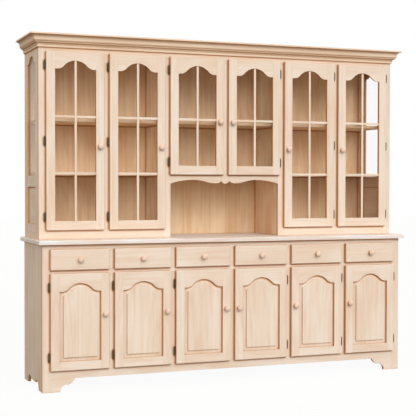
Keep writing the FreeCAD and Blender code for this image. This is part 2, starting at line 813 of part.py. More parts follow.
def chamfer(body, name, feature, amount, chosen):
    """Cut off the chosen straight edges of a body's last feature."""
    doc.recompute()
    edge = body.newObject("PartDesign::Chamfer", name)
    edge.Base = (feature, named_edges(feature, chosen))
    edge.setExpression("Size", amount.text)
    body.Tip = edge
    return edge


def knob(name, corner):
    """A turned wooden knob, worked in flats, whose foot stands on a front's face at the corner."""
    near = 0.01
    reach = size("knob_reach")
    foot = size("knob_foot")
    foot_high = size("knob_foot_high")
    body = new_body(name, corner)
    pad(body, name + "_foot", draw(body, name + "_foot_ring", "XZ_Plane", flats(foot, KNOB_FLATS)), foot_high)
    ring = draw(body, name + "_head_ring", "XZ_Plane", flats(size("knob_radius"), KNOB_FLATS))
    ring.setExpression("AttachmentOffset.Base.z", foot_high.text)
    head = pad(body, name + "_head", ring, reach - foot_high)

    def back_of_head(box):
        level = abs(box.YMax + foot_high.value) < near and abs(box.YMin + foot_high.value) < near
        return level and math.hypot(box.Center.x, box.Center.z) > foot.value

    flare = chamfer(body, name + "_flare", head, size("knob_flare"), back_of_head)
    chamfer(body, name + "_face", flare, size("knob_dome"), lambda box: box.YMax < near - reach.value)
    return body


def barrel(name, corner, high):
    """An upright hinge barrel with its tips, worked in flats."""
    body = new_body(name, corner)
    ring = flats(size("barrel_radius"), BARREL_FLATS)
    pad(body, name + "_pad", draw(body, name + "_outline", "XY_Plane", ring), high)
    return body


def hinge_line(number, right):
    """Where a door's hinge side is: its edge, and 1 or -1 for the way from the edge to the barrel."""
    way = 1 if right else -1
    return bay(number) + door_width / 2 * way, way


def span_x(start, end):
    """The two X positions in rising order."""
    return (start, end) if start.value < end.value else (end, start)


def hinge(name, number, right, frame_face, middle):
    """Barrel and the bent leaf that wraps the frame, and apart from them the leaf on the door."""
    edge, way = hinge_line(number, right)
    radius = size("barrel_radius")
    leaf = size("leaf_thick")
    half_leaf = size("leaf_high") / 2
    axis_x = edge + (radius + size("barrel_clear")) * way
    axis_y = frame_face - leaf - radius
    low, high = middle - half_leaf, middle + half_leaf
    start, end = span_x(axis_x, edge - overlay * way)
    wrap_start, wrap_end = span_x(edge - overlay * way, edge - (overlay + leaf) * way)
    half_barrel = size("barrel_long") / 2 + size("tip_long")
    bent_leaf = doc.addObject("Part::MultiFuse", name + "_bent_leaf")
    bent_leaf.Refine = True
    bent_leaf.Shapes = [
        board(name + "_frame_leaf", (start, frame_face - leaf, low), (end, frame_face, high)),
        board(name + "_wrap", (wrap_start, frame_face - leaf, low),
              (wrap_end, frame_face + size("leaf_wrap"), high))]
    fixed = [barrel(name + "_barrel", (axis_x, axis_y, middle - half_barrel), half_barrel * 2), bent_leaf]
    start, end = span_x(edge + size("leaf_past") * way, edge - size("leaf_wide") * way)
    door_back = frame_face - standoff
    moving = [board(name + "_door_leaf", (start, door_back, low), (end, door_back + leaf, high))]
    return fixed, moving


def catch(name, number, right, frame_face, top):
    """Magnetic catch under the rail over a door, and the strike plate on the door's back."""
    middle = bay(number) - size("catch_out") * (1 if right else -1)
    half = size("catch_wide") / 2
    leaf = size("leaf_thick")
    low = top - size("catch_high")
    body = board(name + "_catch", (middle - half, frame_face - standoff + leaf + slip, low),
                 (middle + half, frame_face + size("catch_deep"), top))
    half_strike = size("strike_wide") / 2
    strike = board(name + "_strike", (middle - half_strike, frame_face - standoff, low),
                   (middle + half_strike, frame_face - standoff + leaf, top))
    return body, strike


HINGES = []
CATCHES = []


def fittings(label, number, right, frame_face, low, high, count):
    """A door's hinges and catch: the fixed halves join the cabinet's, and the door's own make a node."""
    inset = size("hinge_inset")
    step = (high - low - inset * 2) / (count - 1)
    on_door = []
    for index in range(count):
        fixed, moving = hinge("%s_hinge_%d" % (label, index + 1), number, right, frame_face,
                              low + inset + step * index)
        HINGES.extend(fixed)
        on_door += moving
    body, strike = catch(label, number, right, frame_face, high - overlay)
    CATCHES.append(body)
    node(label + "_fittings", on_door + [strike])


# ---------------------------------------------------------------- doors and drawers
def eased(name, outline, thick, corner, is_outer):
    """A board of a front, thickened backwards, with those edges of its face eased that are outer ones."""
    body = new_body(name, corner)
    feature = pad(body, name + "_pad", draw(body, name + "_outline", "XZ_Plane", outline), thick,
                  reverse=True)
    doc.recompute()
    chosen = named_edges(feature, lambda box: box.YMax < 0.01 and is_outer(box))
    edge = body.newObject("PartDesign::Chamfer", name + "_edge")
    edge.Base = (feature, chosen)
    edge.setExpression("Size", size("edge_ease").text)
    body.Tip = edge
    return body


def behind_frame(name, corner, low, top, start, end):
    """A board or a rebate behind the inner edges of a door's frame, at depths from the door's face."""
    reach = door_width / 2 - size("stile_wide") + size("rebate_wide")
    lap = size("rebate_wide")
    return board(name, (corner[0] - reach, corner[1] + start, corner[2] + low - lap),
                 (corner[0] + reach, corner[1] + end, corner[2] + top + lap))


def door_frame(label, corner, high, rail_low, shoulder, rise, rebate):
    """Two stiles, a level bottom rail and an arched top rail, all rebated at the back."""
    half = door_width / 2
    inner = half - size("stile_wide")
    near = 0.01

    def piece(name, outline, is_outer):
        full = eased("%s_%s" % (label, name), outline, front_thick, corner, is_outer)
        return cut(full.Name + "_rebated", full, rebate)

    def upright(start, end):
        return [(start, ZERO), (end, ZERO), (end, high), (start, high)]

    def ends(box):
        return box.ZMax < near or box.ZMin > high.value - near

    left = piece("left_stile", upright(-half, -inner),
                 lambda box: ends(box) or box.XMax < near - half.value)
    right = piece("right_stile", upright(inner, half),
                  lambda box: ends(box) or box.XMin > half.value - near)
    bottom = [(-inner, ZERO), (inner, ZERO), (inner, rail_low), (-inner, rail_low)]
    low = piece("bottom_rail", bottom, lambda box: box.ZMax < near)
    top = piece("top_rail", arched_rail(inner, shoulder, rise, high),
                lambda box: box.ZMin > high.value - near)
    return [left, right, low, top]


def raised_panel(name, corner, low, shoulder, rise):
    """Panel that fills its rebate, with a bevel and a raised field that follow the arch."""
    inner = door_width / 2 - size("stile_wide")
    lap = size("rebate_wide")
    face = front_thick - size("margin_thick")
    rise_of_bevel = size("bevel_rise")
    body = new_body(name, (corner[0], corner[1] + face, corner[2]))
    top = shoulder + rise + lap
    blank = [(-inner - lap, low - lap), (inner + lap, low - lap), (inner + lap, top), (-inner - lap, top)]
    pad(body, name + "_blank", draw(body, name + "_blank_outline", "XZ_Plane", blank),
        size("margin_thick"), reverse=True)
    sight = draw(body, name + "_sight_outline", "XZ_Plane", arched_panel(inner, low, shoulder, rise))
    field = arched_panel(inner, low, shoulder, rise, size("bevel_wide"))
    foot_of_step = draw(body, name + "_bevel_outline", "XZ_Plane", field)
    foot_of_step.setExpression("AttachmentOffset.Base.z", rise_of_bevel.text)
    loft = body.newObject("PartDesign::AdditiveLoft", name + "_bevel")
    loft.Profile = sight
    loft.Sections = [foot_of_step]
    loft.Ruled = True
    step = draw(body, name + "_field_outline", "XZ_Plane", field)
    step.setExpression("AttachmentOffset.Base.z", rise_of_bevel.text)
    pad(body, name + "_field", step, size("field_step"))
    return body


def base_door(number):
    """Frame-and-panel door under a drawer."""
    right = number > 2
    label = "base_door_%d" % (number + 1)
    high = size("base_door_high")
    rail_low = size("base_rail_low")
    shoulder = high - size("base_rail_top")
    rise = size("base_arch_rise")
    face = front - standoff - front_thick
    corner = (bay(number), face, base_door_low)
    panel = raised_panel(label + "_raised_panel", corner, rail_low, shoulder, rise)
    rebate = behind_frame(label + "_rebate", corner, rail_low, shoulder + rise,
                          front_thick - size("margin_thick"), front_thick)
    frame = door_frame(label, corner, high, rail_low, shoulder, rise, rebate)
    side = -1 if right else 1
    knob_x = bay(number) + (door_width - size("stile_wide")) / 2 * side
    frame.append(knob(label + "_knob", (knob_x, face, base_door_low + size("base_knob_high"))))
    node(label + "_frame", frame)
    node(label + "_panel", [panel])
    fittings(label, number, right, front, base_door_low, base_door_top, 2)


def stops(label, corner, inner, low, top, start):
    """Four strips that fill a door's rebate behind its pane."""
    lap = size("rebate_wide")
    spans = (("left", -inner - lap, -inner, low - lap, top + lap),
             ("right", inner, inner + lap, low - lap, top + lap),
             ("low", -inner, inner, low - lap, low), ("top", -inner, inner, top, top + lap))
    return [board("%s_%s_stop" % (label, name), (corner[0] + left, corner[1] + start, corner[2] + below),
                  (corner[0] + right, corner[1] + front_thick, corner[2] + above))
            for name, left, right, below, above in spans]


def hutch_door(number):
    """Glazed door with an arched head and glazing bars; the two middle doors are the short ones."""
    right = number > 2
    short = number in (2, 3)
    label = "hutch_door_%d" % (number + 1)
    low = short_low if short else tall_low
    high = size("short_door_high") if short else size("tall_door_high")
    rail_low = size("hutch_rail_low")
    shoulder = high - size("hutch_rail_top")
    rise = size("hutch_arch_rise")
    face = hutch_front - standoff - front_thick
    corner = (bay(number), face, low)
    inner = door_width / 2 - size("stile_wide")
    glass_back = front_thick - size("stop_thick")
    glass_front = glass_back - size("glass_thick")
    top = shoulder + rise
    rebate = behind_frame(label + "_rebate", corner, rail_low, top, glass_front, front_thick)
    pane = behind_frame(label + "_pane", corner, rail_low, top, glass_front, glass_back)
    frame = door_frame(label, corner, high, rail_low, shoulder, rise, rebate)
    frame += stops(label, corner, inner, rail_low, top, glass_back)
    half_bar = size("muntin_wide") / 2
    run = inner - size("arch_flat")
    crown_radius = level_arc(run, rise) * (1 - size("arch_share"))
    bar_top = shoulder + rise - half_bar * half_bar / (crown_radius * 2)
    rear = face + glass_front
    middle = bay(number)
    bar_face = rear - size("muntin_deep")
    frame.append(board(label + "_upright_bar", (middle - half_bar, bar_face, low + rail_low),
                       (middle + half_bar, rear, low + bar_top)))
    upper = tall_low + size("low_muntin_high") + size("muntin_pitch")
    levels = [upper] if short else [upper - size("muntin_pitch"), upper]
    for row, level in enumerate(levels, start=1):
        for name, start, end in (("left", -inner, -half_bar), ("right", half_bar, inner)):
            frame.append(board("%s_%s_bar_%d" % (label, name, row),
                               (middle + start, bar_face, level - half_bar),
                               (middle + end, rear, level + half_bar)))
    side = -1 if right else 1
    knob_x = middle + (door_width - size("stile_wide")) / 2 * side
    knob_high = size("short_knob_high") if short else size("tall_knob_high")
    frame.append(knob(label + "_knob", (knob_x, face, low + knob_high)))
    node(label + "_frame", frame)
    node(label + "_glass", [pane])
    fittings(label, number, right, hutch_front, low, hutch_door_top, 2 if short else 3)


def drawer(number):
    """Drawer: front with its knob, two sides, a back and a bottom."""
    label = "drawer_%d" % (number + 1)
    middle = bay(number)
    half = door_width / 2
    face = front - standoff - front_thick
    rear = front - slip
    high = size("drawer_high")
    outline = [(-half, ZERO), (half, ZERO), (half, high), (-half, high)]
    pieces = [eased(label + "_front", outline, rear - face, (middle, face, drawer_low), lambda box: True)]
    pieces.append(knob(label + "_knob", (middle, face, drawer_low + high / 2)))
    box_half = half_opening - size("drawer_play")
    side = size("drawer_side")
    low = runner_top + slip
    top = low + size("drawer_box_high")
    end = rear + size("drawer_deep")
    pieces.append(board(label + "_left_side", (middle - box_half, rear, low),
                        (middle - box_half + side, end, top)))
    pieces.append(board(label + "_right_side", (middle + box_half - side, rear, low),
                        (middle + box_half, end, top)))
    pieces.append(board(label + "_back", (middle - box_half + side, end - side, low),
                        (middle + box_half - side, end, top)))
    bottom = low + size("bottom_up")
    pieces.append(board(label + "_bottom", (middle - box_half + side, rear, bottom),
                        (middle + box_half - side, end - side, bottom + size("drawer_bottom"))))
    node(label, pieces)


# ---------------------------------------------------------------- the whole cupboard
base_side_panels()
base_face_frame()
base_inner_boards()
drawer_runners()
counter()
hutch_sides()
hutch_face_frame()
valance()
hutch_inner_boards()
crown()
for number in range(6):
    drawer(number)
    base_door(number)
    hutch_door(number)
node("frame_hinges", HINGES)
node("door_catches", CATCHES)
doc.recompute()

failed = [obj.Name for obj in doc.Objects if {"Invalid", "Error"} & set(obj.State)]
failed += [obj.Name for obj in NODES if obj.Shape.isNull() or not obj.Shape.isValid()]
if failed:
    raise RuntimeError("failed: " + ", ".join(failed))

os.makedirs("parts", exist_ok=True)
for sub_part in NODES:
    sub_part.Shape.exportStep("parts/%s.step" % sub_part.Label)
print(len(NODES), "sub-parts,", sum(len(sub_part.Shape.Solids) for sub_part in NODES), "solids")
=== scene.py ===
"""Dresses the frame of a step back cupboard: eased boards of raw wood, turned knobs, hinges and glass."""
import math

import bmesh
import bpy
from mathutils import Matrix, Vector


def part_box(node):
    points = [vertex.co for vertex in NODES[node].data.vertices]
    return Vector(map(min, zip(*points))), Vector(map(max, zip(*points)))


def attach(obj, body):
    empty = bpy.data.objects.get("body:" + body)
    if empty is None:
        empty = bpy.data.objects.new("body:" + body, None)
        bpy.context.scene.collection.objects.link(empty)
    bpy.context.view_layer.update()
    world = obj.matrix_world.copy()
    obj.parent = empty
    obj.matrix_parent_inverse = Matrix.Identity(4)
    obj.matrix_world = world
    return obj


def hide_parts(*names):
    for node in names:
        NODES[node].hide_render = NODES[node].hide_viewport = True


bl_info = {
    "name": "Step Back Cupboard",
    "version": (1, 0, 0),
    "blender": (4, 5, 0),
    "location": "View3D > Sidebar > Cupboard",
    "description": "Finishes the frame of a step back cupboard in raw wood, glass and bronze",
    "category": "Object",
}

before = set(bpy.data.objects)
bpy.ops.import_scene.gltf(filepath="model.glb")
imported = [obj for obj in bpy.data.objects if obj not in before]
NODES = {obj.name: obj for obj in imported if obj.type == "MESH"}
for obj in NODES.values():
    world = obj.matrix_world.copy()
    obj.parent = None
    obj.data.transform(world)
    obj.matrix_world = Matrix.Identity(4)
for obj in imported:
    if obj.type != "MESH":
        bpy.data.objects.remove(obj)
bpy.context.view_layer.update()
MM = 0.001
AXES = "XYZ"
BAYS = range(1, 7)
WHITE = (1.0, 1.0, 1.0)
# Points closer than this are one point, in metres.
WELD = 1e-6
# Neighbouring faces that turn less than this are one face.
FLAT = math.radians(0.6)
# Edges that turn more than this are rounded.
CORNER = math.radians(25)


def shade_of(red, green, blue):
    """A screen's colour, in steps of 0 to 255, as Blender's linear values."""
    return tuple((step / 255 / 12.92 if step <= 10 else ((step / 255 + 0.055) / 1.055) ** 2.4)
                 for step in (red, green, blue))


def length(name, about, default):
    return bpy.props.FloatProperty(name=name, description=about, default=default * MM, unit="LENGTH",
                                   precision=4)


def colour(name, about, *steps):
    return bpy.props.FloatVectorProperty(name=name, description=about, default=shade_of(*steps), size=3,
                                         subtype="COLOR", min=0.0, max=1.0)


def share(name, about, default, most=1.0):
    return bpy.props.FloatProperty(name=name, description=about, default=default, min=0.0, max=most,
                                   subtype="FACTOR")


def level(name, about, default):
    return bpy.props.FloatProperty(name=name, description=about, default=default, min=0.0)


def angle(name, about, degrees):
    return bpy.props.FloatProperty(name=name, description=about, default=math.radians(degrees), unit="ROTATION")


def direction(name, about, *default):
    return bpy.props.FloatVectorProperty(name=name, description=about, default=default, size=3,
                                         subtype="DIRECTION")


# ---------------------------------------------------------------- sizes and colours
class CupboardWood(bpy.types.PropertyGroup):
    """Colours and grain of the wood."""
    face: colour("Planed wood", "Faces, frames and mouldings", 238, 224, 209)
    figure: colour("Figure", "Darker growth lines of the faces", 224, 193, 165)
    # The counter's paler colour is painted sheen and painted light from above.
    counter: colour("Counter", "Paler boards of the counter top", 239, 240, 241)
    crown: colour("Crown", "Warmer boards of the crown", 240, 218, 192)
    knob: colour("Knobs", "Warmer wood of the turned knobs", 238, 214, 197)
    inner: colour("Inner wood", "Backs and shelves", 253, 228, 194)
    # The partitions' paler colour is painted light, for the light that falls on them in the bays.
    partition: colour("Partitions", "Paler upright boards between the bays", 255, 246, 222)
    inner_figure: colour("Inner figure", "Darker growth lines of the inner boards", 226, 182, 137)
    # Painted shade on edges and steps that face down or left, away from the lamps, and on the crown's
    # undersides.
    cut: colour("Cut edges", "Edges and steps that the cutter has burnished", 196, 138, 88)
    edge_shade_strength: share("Cut edge strength", "How much darker the cut edges are", 0.8)
    # Painted shade in crevices, between parts and under overhangs, from ambient occlusion round a normal leaned
    # up and to the right.
    crevice_shade: colour("Nooks", "Where wood meets wood and the air has darkened it", 196, 138, 80)
    crevice_shade_strength: share("Nook strength", "How much darker the nooks are", 2.5, 3.0)
    crevice_shade_lean: direction("Nook lean", "Side on which an overhang darkens", 0.25, 0.0, 0.45)
    crevice_shade_reach: length("Nook reach", "How far from a corner the wood is darker", 15)
    # Painted shade on the back and walls of the open niche.
    niche: colour("Niche", "Tan that light and air give the back of the open niche", 233, 230, 226)
    niche_wall: colour("Niche walls", "Tan of the niche's two walls", 243, 227, 219)
    strength: share("Figure strength", "How much of the figure shows on the faces", 0.62)
    panel_strength: share("Panel figure strength", "How much of it shows on the raised panels", 0.72)
    inner_strength: share("Inner figure strength", "How much of it shows on the inner boards", 0.7)
    roughness: share("Roughness", "Of sanded, unfinished wood", 0.62)
    back_board: length("Back boards", "Width of the boards of both backs", 108)


class CupboardForm(bpy.types.PropertyGroup):
    """Rounding of edges, and the shapes of small turned pieces."""
    board_round: length("Board edges", "Rounding of a board's edges", 0.8)
    frame_round: length("Frame edges", "Rounding where the members of a frame meet", 0.35)
    moulding_round: length("Moulding edges", "Rounding of the crown's edges", 0.7)
    # Strength of the painted edge shade inside the openings of the hutch's sides.
    side_opening_shade: share("Side openings", "Burnish inside the openings of the hutch's sides", 0.35)
    plate_round: length("Plate edges", "Rounding of metal plates", 0.25)
    catch_round: length("Catch edges", "Rounding of the catches", 1.2)
    knuckles: bpy.props.IntProperty(name="Knuckles", description="Knuckles of a hinge barrel", default=5,
                                    min=1, max=9)
    knuckle_gap: length("Knuckle gap", "Groove between two knuckles", 0.7)
    tip: length("Tip", "Turned tip at each end of a barrel", 7)


class CupboardMetal(bpy.types.PropertyGroup):
    """Colours of metal, plastic and glass."""
    bronze: colour("Bronze", "Antique bronze of the hinges", 88, 74, 54)
    rubbed: colour("Rubbed bronze", "Where handling has brightened it", 122, 104, 78)
    plastic: colour("Catches", "Brown plastic of the magnetic catches", 92, 64, 44)
    glass: colour("Glass", "Clear panes", 250, 240, 226)
    glass_alpha: share("Glass body", "How much of a pane shows", 0.008)


class CupboardStage(bpy.types.PropertyGroup):
    """Camera, lamps and floor."""
    spot: bpy.props.FloatVectorProperty(name="Camera place", description="Where the camera stands", size=3,
                                        default=(-2.55019, -6.3867, 1.23432), subtype="XYZ", unit="LENGTH")
    yaw: angle("Yaw", "Turn to the right of straight ahead", 21.22)
    pitch: angle("Pitch", "Tilt, upwards if positive", -1.33)
    roll: angle("Roll", "Turn about the line of sight", 0.11)
    lens: bpy.props.FloatProperty(name="Lens", description="Focal length in millimetres", default=92.3,
                                  min=1, unit="CAMERA")
    surround: share("Surround", "Level of the light from all round", 0.44, 2.0)
    key: level("Key", "Strength of the key lamp", 0.74)
    key_soft: angle("Key softness", "Breadth of the key lamp", 28)
    key_from: direction("Key from", "Where the key light comes from", 0.45, -1.0, 0.6)
    top: level("Top", "Strength of the lamp overhead", 0.46)
    top_soft: angle("Top softness", "Breadth of the lamp overhead", 60)
    top_from: direction("Top from", "Where the light overhead comes from", 0.1, -0.7, 1.0)
    fill: level("Fill", "Strength of the lamp in front", 1.24)
    fill_soft: angle("Fill softness", "Breadth of the lamp in front", 40)
    fill_from: direction("Fill from", "Where the light in front comes from", -0.18, -1.0, 0.36)
    side: level("Side", "Strength of the lamp on the left", 0.62)
    side_soft: angle("Side softness", "Breadth of the lamp on the left", 40)
    side_from: direction("Side from", "Where the light on the left comes from", -1.0, -0.2, 0.1)
    tint: colour("Surround's colour", "Slight warmth of the light from all round", 255, 241, 222)
    floor_shadow: share("Floor shadow", "How much of the shadow on the floor shows", 0.05)


# ---------------------------------------------------------------- materials
class Strand:
    """An output socket that takes part in sums, which add Math nodes."""

    def __init__(self, recipe, socket):
        self.recipe = recipe
        self.socket = socket

    def maths(self, operation, *others):
        return self.recipe.add("ShaderNodeMath", {"operation": operation}, dict(enumerate((self, *others))))

    def swapped(self, operation, other):
        """The same with this strand as the second of the two."""
        return self.recipe.add("ShaderNodeMath", {"operation": operation}, {0: other, 1: self})

    def __add__(self, other):
        return self.maths("ADD", other)

    def __sub__(self, other):
        return self.maths("SUBTRACT", other)

    def __mul__(self, other):
        return self.maths("MULTIPLY", other)

    def __truediv__(self, other):
        return self.maths("DIVIDE", other)

    def __pow__(self, other):
        return self.maths("POWER", other)

    def __radd__(self, other):
        return self.swapped("ADD", other)

    def __rsub__(self, other):
        return self.swapped("SUBTRACT", other)

    def __rmul__(self, other):
        return self.swapped("MULTIPLY", other)

    def __rtruediv__(self, other):
        return self.swapped("DIVIDE", other)

    def __rpow__(self, other):
        return self.swapped("POWER", other)

    def __lt__(self, other):
        return self.maths("LESS_THAN", other)

    def __gt__(self, other):
        return self.maths("GREATER_THAN", other)

    def __abs__(self):
        return self.maths("ABSOLUTE")

    def sine(self):
        return self.maths("SINE")

    def floor(self):
        return self.maths("FLOOR")

    def fraction(self):
        return self.maths("FRACT")

    def clipped(self):
        return self.maths("MAXIMUM", 0.0).maths("MINIMUM", 1.0)


# Sockets of a Mix node that mixes colours.
MIX_SHARE, MIX_FIRST, MIX_SECOND, MIX_RESULT = 0, 6, 7, 2


class Recipe:
    """A material, or a world, and its nodes, which are added one by one."""

    def __init__(self, name, store="materials"):
        self.holder = getattr(bpy.data, store).new(name)
        self.holder.use_nodes = True
        self.tree = self.holder.node_tree
        self.tree.nodes.clear()

    def add(self, kind, settings=None, values=None, output=0):
        """One node: its settings first, then the values or links of its sockets."""
        node = self.tree.nodes.new(kind)
        for name, value in (settings or {}).items():
            setattr(node, name, value)
        for key, value in (values or {}).items():
            if isinstance(value, Strand):
                self.tree.links.new(value.socket, node.inputs[key])
            else:
                node.inputs[key].default_value = value
        return Strand(self, node.outputs[output]) if node.outputs else node

    def place(self):
        return self.add("ShaderNodeTexCoord", output="Object")

    def vector(self, operation, *values):
        return self.add("ShaderNodeVectorMath", {"operation": operation}, dict(enumerate(values)))

    def scaled(self, vector, factor):
        return self.add("ShaderNodeVectorMath", {"operation": "SCALE"}, {0: vector, "Scale": factor})

    def part(self, vector, axis):
        """One of a vector's three numbers."""
        return self.add("ShaderNodeSeparateXYZ", None, {0: vector}, output=axis)

    def attribute(self, name):
        return self.add("ShaderNodeAttribute", {"attribute_name": name}, output="Fac")

    def noise(self, where, scale=1.0, detail=2.0, roughness=0.5):
        return self.add("ShaderNodeTexNoise", {"noise_dimensions": "3D"},
                        {"Vector": where, "Scale": scale, "Detail": detail, "Roughness": roughness})

    def blend(self, factor, first, second, kind="MIX"):
        """Mix two colours, which are strands or three numbers each."""
        def whole(value):
            return value if isinstance(value, Strand) else (*value, 1.0)
        return self.add("ShaderNodeMix", {"data_type": "RGBA", "blend_type": kind, "clamp_factor": True},
                        {MIX_SHARE: factor, MIX_FIRST: whole(first), MIX_SECOND: whole(second)},
                        output=MIX_RESULT)

    def bump(self, height, strength, distance):
        """A fine relief, as deep as a distance, whose strength is a share of that."""
        return self.add("ShaderNodeBump", None,
                        {"Height": height, "Strength": strength, "Distance": distance})

    def finish(self, shader, output="ShaderNodeOutputMaterial"):
        self.add(output, None, {"Surface": shader})
        return self.holder


# Noises of the grain: waves per metre across it and along it, detail and roughness.
CLOUD = (9.0, 2.4, 3.0, 0.5)
CONTOUR = (5.0, 0.6, 1.5, 0.45)
FIBRE = (420.0, 9.0, 3.0, 0.62)
STREAK = (55.0, 1.4, 2.5, 0.6)
# Growth rings: how many a full swing of the contour noise holds, and how narrow their dark lines are.
RINGS = 95.0
RING_SHARPNESS = 1.6
# Shares of cloud, streaks, rings and fibre in the figure, and what is there without them.
FIGURE_SHARES = (2.6, 1.3, 0.28, 0.6)
FIGURE_FLOOR = 0.28
# How far a board's own number moves its grain, and where it reads its own tone.
BOARD_SHIFT = (7.3, 5.1, 9.7)
BOARD_TONE = (31.0, 47.0, 13.0)
# Contrast and level of that tone, and how much of it shows.
BOARD_TONE_CONTRAST = 1.1
BOARD_TONE_LEVEL = 0.3
BOARD_TONE_STRENGTH = 0.22
# Boards of a back: from one board's number to the next, half a board without its joint, and how dark that is.
NEXT_BOARD = 0.37
JOINT_FROM = 0.492
JOINT_STRENGTH = 0.22
JOINT_TONE = 0.55
# Relief of the fibres, the rings and the joints, as shares of the grain's depth.
FIBRE_RELIEF = 0.6
RING_RELIEF = 0.25
JOINT_RELIEF = 1.5
GRAIN_DEPTH = 0.4 * MM
# Ambient occlusion of a point below which the painted crevice shade begins.
CREVICE_SHADE_FROM = 0.92
# For each wood: its colour, its figure, how much of that shows, and the painted shade it gets in the open
# niche.
WOODS = {
    "wood": ("face", "figure", "strength", None),
    "panel_wood": ("face", "figure", "panel_strength", None),
    # The counter is paler as painted sheen and painted light from above.
    "counter_wood": ("counter", "figure", "strength", None),
    "crown_wood": ("crown", "figure", "strength", None),
    "knob_wood": ("knob", "figure", "strength", None),
    "inner_wood": ("inner", "inner_figure", "inner_strength", None),
    # The partitions are paler as painted light.
    "partition_wood": ("partition", "inner_figure", "inner_strength", "niche_wall"),
    "back_wood": ("inner", "inner_figure", "inner_strength", "niche"),
}
# The painted crevice shade is weaker on the counter, and darker on the knobs' stems, where it stands for their
# shadow.
CREVICE_SHADE_SHARE = {"counter_wood": 0.4}
CREVICE_SHADE_TONE = {"knob_wood": 0.45}


def grain_noise(recipe, where, axis, noise):
    """A noise that runs with the grain, on coordinates that are pressed together along it."""
    across, along, detail, roughness = noise
    scale = [across, across, across]
    scale[AXES.index(axis)] = along
    return recipe.noise(recipe.vector("MULTIPLY", where, scale), detail=detail, roughness=roughness)


def in_niche(recipe, place):
    """1 on the walls of the open niche, which get painted shade, and 0 everywhere else."""
    half_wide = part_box("hutch_partitions")[1][0]
    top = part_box("hutch_valance")[1][2]
    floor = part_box("counter_top")[1][2]
    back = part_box("hutch_back")[0][1]
    side, deep, up = (recipe.part(place, axis) for axis in range(3))
    between = abs(side) < half_wide - MM
    before = deep < back + MM
    return between * before * (up > floor) * (up < top)


def wood(kind, axis):
    """Sanded raw wood with its grain along an axis. Each board's own number moves the pattern."""
    look = bpy.context.scene.cupboard_wood
    face, figure, strength, niche_shade = (setting and getattr(look, setting) for setting in WOODS[kind])
    recipe = Recipe("%s_along_%s" % (kind, axis.lower()))
    place = recipe.place()
    lot = recipe.attribute("board")
    joint = None
    if kind == "back_wood":
        across = recipe.part(place, 0) / look.back_board + 0.5
        lot = lot + across.floor() * NEXT_BOARD
        joint = abs(across.fraction() - 0.5) > JOINT_FROM
    where = recipe.vector("ADD", place, recipe.scaled(BOARD_SHIFT, lot))

    cloud, contour, fibre, streak = (grain_noise(recipe, where, axis, noise)
                                     for noise in (CLOUD, CONTOUR, FIBRE, STREAK))
    rings = ((contour * RINGS).sine() * 0.5 + 0.5) ** RING_SHARPNESS
    cloud_share, streak_share, ring_share, fibre_share = FIGURE_SHARES
    mask = ((cloud - 0.5) * cloud_share + (streak - 0.5) * streak_share + rings * ring_share
            + (fibre - 0.5) * fibre_share + FIGURE_FLOOR)
    tone = recipe.blend((mask.clipped() * strength).clipped(), face, figure)
    lift = recipe.noise(recipe.scaled(BOARD_TONE, lot), detail=0.0)
    lift = ((lift - 0.5) * BOARD_TONE_CONTRAST + BOARD_TONE_LEVEL).clipped()
    tone = recipe.blend(lift * BOARD_TONE_STRENGTH, tone, figure)
    if joint:
        tone = recipe.blend(joint * JOINT_STRENGTH, tone, [value * JOINT_TONE for value in figure])
    # Painted shade on the walls of the open niche.
    if niche_shade is not None:
        tone = recipe.blend(in_niche(recipe, place), tone, niche_shade, "MULTIPLY")

    # Painted shade on the edges and steps that face away from the lamps, and on the crown's undersides.
    cut = recipe.attribute("cut")
    tone = recipe.blend(cut * look.edge_shade_strength * (fibre * 0.5 + 0.75), tone, look.cut)
    # Painted shade where wood meets wood and under overhangs: ambient occlusion round a normal leaned up and to
    # the right darkens the colour.
    normal = recipe.add("ShaderNodeNewGeometry", output="Normal")
    tilted = recipe.vector("NORMALIZE", recipe.vector("ADD", normal, look.crevice_shade_lean))
    occlusion = recipe.add("ShaderNodeAmbientOcclusion", {"samples": 16},
                          {"Distance": look.crevice_shade_reach, "Normal": tilted}, output="AO")
    crevice_shade_mask = (CREVICE_SHADE_FROM - occlusion) * (look.crevice_shade_strength * CREVICE_SHADE_SHARE.get(kind, 1.0))
    tone = recipe.blend(crevice_shade_mask.clipped(), tone, [value * CREVICE_SHADE_TONE.get(kind, 1.0) for value in look.crevice_shade])

    height = fibre * FIBRE_RELIEF + rings * RING_RELIEF
    if joint:
        height = height - joint * JOINT_RELIEF
    shader = recipe.add("ShaderNodeBsdfPrincipled", None, {
        "Base Color": tone, "Roughness": (fibre - 0.5) * 0.25 + look.roughness, "Specular IOR Level": 0.32,
        "Normal": recipe.bump(height, strength=0.22, distance=GRAIN_DEPTH)})
    return recipe.finish(shader)


def bronze(look):
    """Antique bronze, rubbed brighter in patches."""
    recipe = Recipe("antique_bronze")
    place = recipe.place()
    patch = recipe.noise(place, scale=160.0, detail=3.0)
    grain = recipe.noise(place, scale=1400.0, detail=2.0)
    worn = ((patch - 0.45) * 2.4).clipped()
    shader = recipe.add("ShaderNodeBsdfPrincipled", None, {
        "Base Color": recipe.blend(worn * 0.45, look.bronze, look.rubbed),
        "Metallic": 0.2, "Roughness": 0.58 - worn * 0.12, "Specular IOR Level": 0.3,
        "Normal": recipe.bump(grain, strength=0.1, distance=0.2 * MM)})
    return recipe.finish(shader)


def plastic(look):
    """Brown plastic with a fine fleck."""
    recipe = Recipe("catch_plastic")
    fleck = recipe.noise(recipe.place(), scale=900.0, detail=2.0)
    shader = recipe.add("ShaderNodeBsdfPrincipled", None, {
        "Base Color": recipe.blend(fleck * 0.4, look.plastic, [value * 0.75 for value in look.plastic]),
        "Roughness": 0.48 + fleck * 0.1,
        "Normal": recipe.bump(fleck, strength=0.12, distance=0.2 * MM)})
    return recipe.finish(shader)


